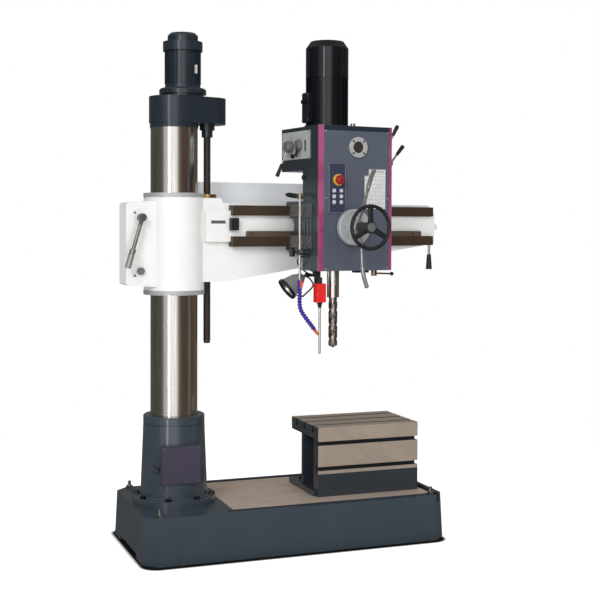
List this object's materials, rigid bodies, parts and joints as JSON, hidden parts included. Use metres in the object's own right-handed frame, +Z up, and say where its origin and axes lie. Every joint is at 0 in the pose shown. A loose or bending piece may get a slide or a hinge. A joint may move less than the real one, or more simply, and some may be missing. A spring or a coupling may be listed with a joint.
{
  "type": "radial arm drill",
  "caption": "Floor-standing radial arm drill: T-slotted base with box table, turning column, rising arm and a drill head that travels along it.",
  "frame": {"origin": "column axis at the floor, under the base", "axes": "+X along the base from the column to the box table, +Y to the back of the machine, +Z up the column"},
  "size_m": [1.6134, 0.9637, 2.296],
  "materials": {
    "slate_paint": "gloss slate-blue paint",
    "bolt_steel": "bright zinc plating",
    "cover_plate": "satin dark plate",
    "machined_steel": "turned and ground steel",
    "table_iron": "planed grey iron",
    "polished_steel": "polished steel",
    "black_paint": "gloss black paint",
    "dark_paint": "gloss dark blue-grey paint",
    "arm_paint": "gloss off-white paint",
    "grey_iron": "satin grey iron",
    "bronze": "turned bronze",
    "black_rubber": "matt black rubber",
    "cabinet_paint": "satin light grey paint",
    "lever_steel": "satin grey steel",
    "head_paint": "gloss dark grey paint",
    "fascia_paint": "gloss blue-grey paint",
    "magenta_trim": "gloss magenta paint",
    "porthole_ring": "turned bright ring with a sight glass",
    "plate_aluminium": "satin anodised plate",
    "hose_plastic": "blue-violet ribbed plastic",
    "red_paint": "gloss red paint",
    "black_plastic": "moulded black plastic",
    "red_plastic": "moulded red plastic",
    "white_plastic": "moulded white plastic",
    "lamp_metal": "spun aluminium"
  },
  "bodies": {
    "base": {"base_plate": "slate_paint", "levelling_bolts": "bolt_steel", "pedestal": "slate_paint", "hex_bolts": "bolt_steel", "pedestal_cover": "cover_plate", "inner_column": "machined_steel", "box_table": "table_iron"},
    "column": {"column": "polished_steel", "column_collar": "black_paint", "elevating_gearbox": "dark_paint", "elevating_motor": "dark_paint", "screw_bearing": "dark_paint"},
    "elevating_screw": {"elevating_screw": "machined_steel"},
    "elevating_rotor": {"elevating_rotor": "machined_steel"},
    "arm": {"arm_casting": "arm_paint", "arm_end_rings": "grey_iron", "lift_nut": "bronze", "arm_key": "machined_steel", "traverse_rack": "machined_steel", "arm_stops": "black_rubber", "arm_handle": "bolt_steel", "electrical_cabinet": "cabinet_paint", "clamp_bolts": "bolt_steel"},
    "arm_clamp_lever": {"arm_clamp_lever": "grey_iron"},
    "cabinet_door": {"cabinet_door": "cabinet_paint"},
    "head": {"head_housing": "head_paint", "head_fascia": "fascia_paint", "head_trims": "magenta_trim", "porthole": "porthole_ring", "fascia_plates": "plate_aluminium", "side_panel": "plate_aluminium", "main_motor": "black_paint", "coolant_pipe": "bolt_steel", "coolant_hose": "hose_plastic", "trip_switch": "red_paint", "lamp_bracket": "black_paint"},
    "quill": {"quill": "polished_steel"},
    "spindle": {"spindle": "polished_steel", "drill_bit": "machined_steel"},
    "feed_hub": {"feed_levers": "polished_steel", "feed_dial": "plate_aluminium"},
    "handwheel": {"handwheel": "black_plastic", "traverse_shaft": "machined_steel"},
    "spindle_gear": {"spindle_gear": "machined_steel"},
    "main_rotor": {"main_rotor": "machined_steel"},
    "selector_left": {"selector_left": "lever_steel"},
    "selector_right": {"selector_right": "lever_steel"},
    "rotary_switch": {"rotary_switch": "black_plastic"},
    "emergency_stop": {"emergency_stop": "red_plastic"},
    "button_1": {"button_1": "white_plastic"},
    "button_2": {"button_2": "white_plastic"},
    "button_3": {"button_3": "white_plastic"},
    "button_4": {"button_4": "white_plastic"},
    "button_5": {"button_5": "white_plastic"},
    "button_6": {"button_6": "white_plastic"},
    "speed_lever": {"speed_lever": "black_paint"},
    "range_lever": {"range_lever": "black_paint"},
    "head_clamp_lever": {"head_clamp_lever": "bronze"},
    "trip_rod": {"trip_rod": "polished_steel"},
    "work_lamp": {"work_lamp": "lamp_metal"}
  },
  "joints": [
    {"name": "arm_swing", "type": "hinge", "parent": "base", "child": "column", "pos_m": [0, 0, 1], "axis": [0, 0, 1], "range_deg": [-170, 170]},
    {"name": "arm_lift", "type": "slide", "parent": "column", "child": "arm", "axis": [0, 0, 1], "range_m": [-0.45, 0.25]},
    {"name": "screw_turn", "type": "hinge", "parent": "column", "child": "elevating_screw", "pos_m": [0.15793, 0.01844, 1.4], "axis": [0, 0, 1], "continuous": true},
    {"name": "lift_rotor_turn", "type": "hinge", "parent": "column", "child": "elevating_rotor", "pos_m": [0.04072, 0.00475, 2.1], "axis": [0, 0, 1], "continuous": true},
    {"name": "head_traverse", "type": "slide", "parent": "arm", "child": "head", "axis": [0.9933, 0.116, 0], "range_m": [-0.25, 0.38]},
    {"name": "quill_feed", "type": "slide", "parent": "head", "child": "quill", "axis": [0, 0, -1], "range_m": [0, 0.2]},
    {"name": "spindle_turn", "type": "hinge", "parent": "quill", "child": "spindle", "pos_m": [0.66045, -0.26721, 1.3], "axis": [0, 0, 1], "continuous": true},
    {"name": "feed_lever_turn", "type": "hinge", "parent": "head", "child": "feed_hub", "pos_m": [0.72992, -0.38796, 1.432], "axis": [0.116, -0.9933, 0], "range_deg": [0, 480]},
    {"name": "handwheel_turn", "type": "hinge", "parent": "head", "child": "handwheel", "pos_m": [0.74245, -0.49523, 1.432], "axis": [-0.116, 0.9933, 0], "range_deg": [-720, 1090]},
    {"name": "spindle_gear_turn", "type": "hinge", "parent": "head", "child": "spindle_gear", "pos_m": [0.66045, -0.26721, 1.7], "axis": [0, 0, 1], "continuous": true},
    {"name": "main_rotor_turn", "type": "hinge", "parent": "head", "child": "main_rotor", "pos_m": [0.66403, -0.17718, 1.9], "axis": [0, 0, 1], "continuous": true},
    {"name": "arm_clamp", "type": "hinge", "parent": "arm", "child": "arm_clamp_lever", "pos_m": [-0.17128, -0.11967, 1.472], "axis": [-0.116, 0.9933, 0], "range_deg": [-25, 70]},
    {"name": "cabinet_door_hinge", "type": "hinge", "parent": "arm", "child": "cabinet_door", "pos_m": [0.13667, 0.36431, 1.44], "axis": [0, 0, 1], "range_deg": [0, 110]},
    {"name": "selector_left_turn", "type": "hinge", "parent": "head", "child": "selector_left", "pos_m": [0.5229, -0.09802, 1.795], "axis": [0.9933, 0.116, 0], "range_deg": [-30, 30]},
    {"name": "selector_right_turn", "type": "hinge", "parent": "head", "child": "selector_right", "pos_m": [0.53241, -0.17946, 1.798], "axis": [0.9933, 0.116, 0], "range_deg": [-30, 30]},
    {"name": "rotary_switch_turn", "type": "hinge", "parent": "head", "child": "rotary_switch", "pos_m": [0.52568, -0.12186, 1.752], "axis": [0.9933, 0.116, 0], "range_deg": [-45, 45]},
    {"name": "emergency_stop_press", "type": "slide", "parent": "head", "child": "emergency_stop", "axis": [-0.116, 0.9933, 0], "range_m": [0, 0.004], "stiffness_N_per_m": 1500},
    {"name": "button_1_press", "type": "slide", "parent": "head", "child": "button_1", "axis": [-0.116, 0.9933, 0], "range_m": [0, 0.003], "stiffness_N_per_m": 800},
    {"name": "button_2_press", "type": "slide", "parent": "head", "child": "button_2", "axis": [-0.116, 0.9933, 0], "range_m": [0, 0.003], "stiffness_N_per_m": 800},
    {"name": "button_3_press", "type": "slide", "parent": "head", "child": "button_3", "axis": [-0.116, 0.9933, 0], "range_m": [0, 0.003], "stiffness_N_per_m": 800},
    {"name": "button_4_press", "type": "slide", "parent": "head", "child": "button_4", "axis": [-0.116, 0.9933, 0], "range_m": [0, 0.003], "stiffness_N_per_m": 800},
    {"name": "button_5_press", "type": "slide", "parent": "head", "child": "button_5", "axis": [-0.116, 0.9933, 0], "range_m": [0, 0.003], "stiffness_N_per_m": 800},
    {"name": "button_6_press", "type": "slide", "parent": "head", "child": "button_6", "axis": [-0.116, 0.9933, 0], "range_m": [0, 0.003], "stiffness_N_per_m": 800},
    {"name": "speed_lever_turn", "type": "hinge", "parent": "head", "child": "speed_lever", "pos_m": [0.91167, -0.18552, 1.736], "axis": [0.9933, 0.116, 0], "range_deg": [-25, 25]},
    {"name": "range_lever_turn", "type": "hinge", "parent": "head", "child": "range_lever", "pos_m": [0.92211, -0.27491, 1.722], "axis": [0.9933, 0.116, 0], "range_deg": [-25, 25]},
    {"name": "head_clamp_turn", "type": "hinge", "parent": "head", "child": "head_clamp_lever", "pos_m": [0.89098, -0.198, 1.221], "axis": [0, 0, 1], "range_deg": [-40, 40]},
    {"name": "trip_tilt", "type": "hinge", "parent": "head", "child": "trip_rod", "pos_m": [0.58225, -0.30453, 1.1], "axis": [0.9933, 0.116, 0], "range_deg": [-6, 6], "stiffness_Nm_per_rad": 2},
    {"name": "lamp_tilt", "type": "hinge", "parent": "head", "child": "work_lamp", "pos_m": [0.58596, -0.13797, 1.214], "axis": [-0.116, 0.9933, 0], "range_deg": [-20, 20]}
  ],
  "couplings": [
    {"joint": "screw_turn", "follows": "arm_lift", "rad_per_m": -1047.2},
    {"joint": "lift_rotor_turn", "follows": "arm_lift", "rad_per_m": 1329.1},
    {"joint": "feed_lever_turn", "follows": "quill_feed", "rad_per_m": 41.667},
    {"joint": "handwheel_turn", "follows": "head_traverse", "rad_per_m": 50},
    {"joint": "spindle_gear_turn", "follows": "spindle_turn", "ratio": 1},
    {"joint": "main_rotor_turn", "follows": "spindle_turn", "ratio": -1.8125}
  ]
}
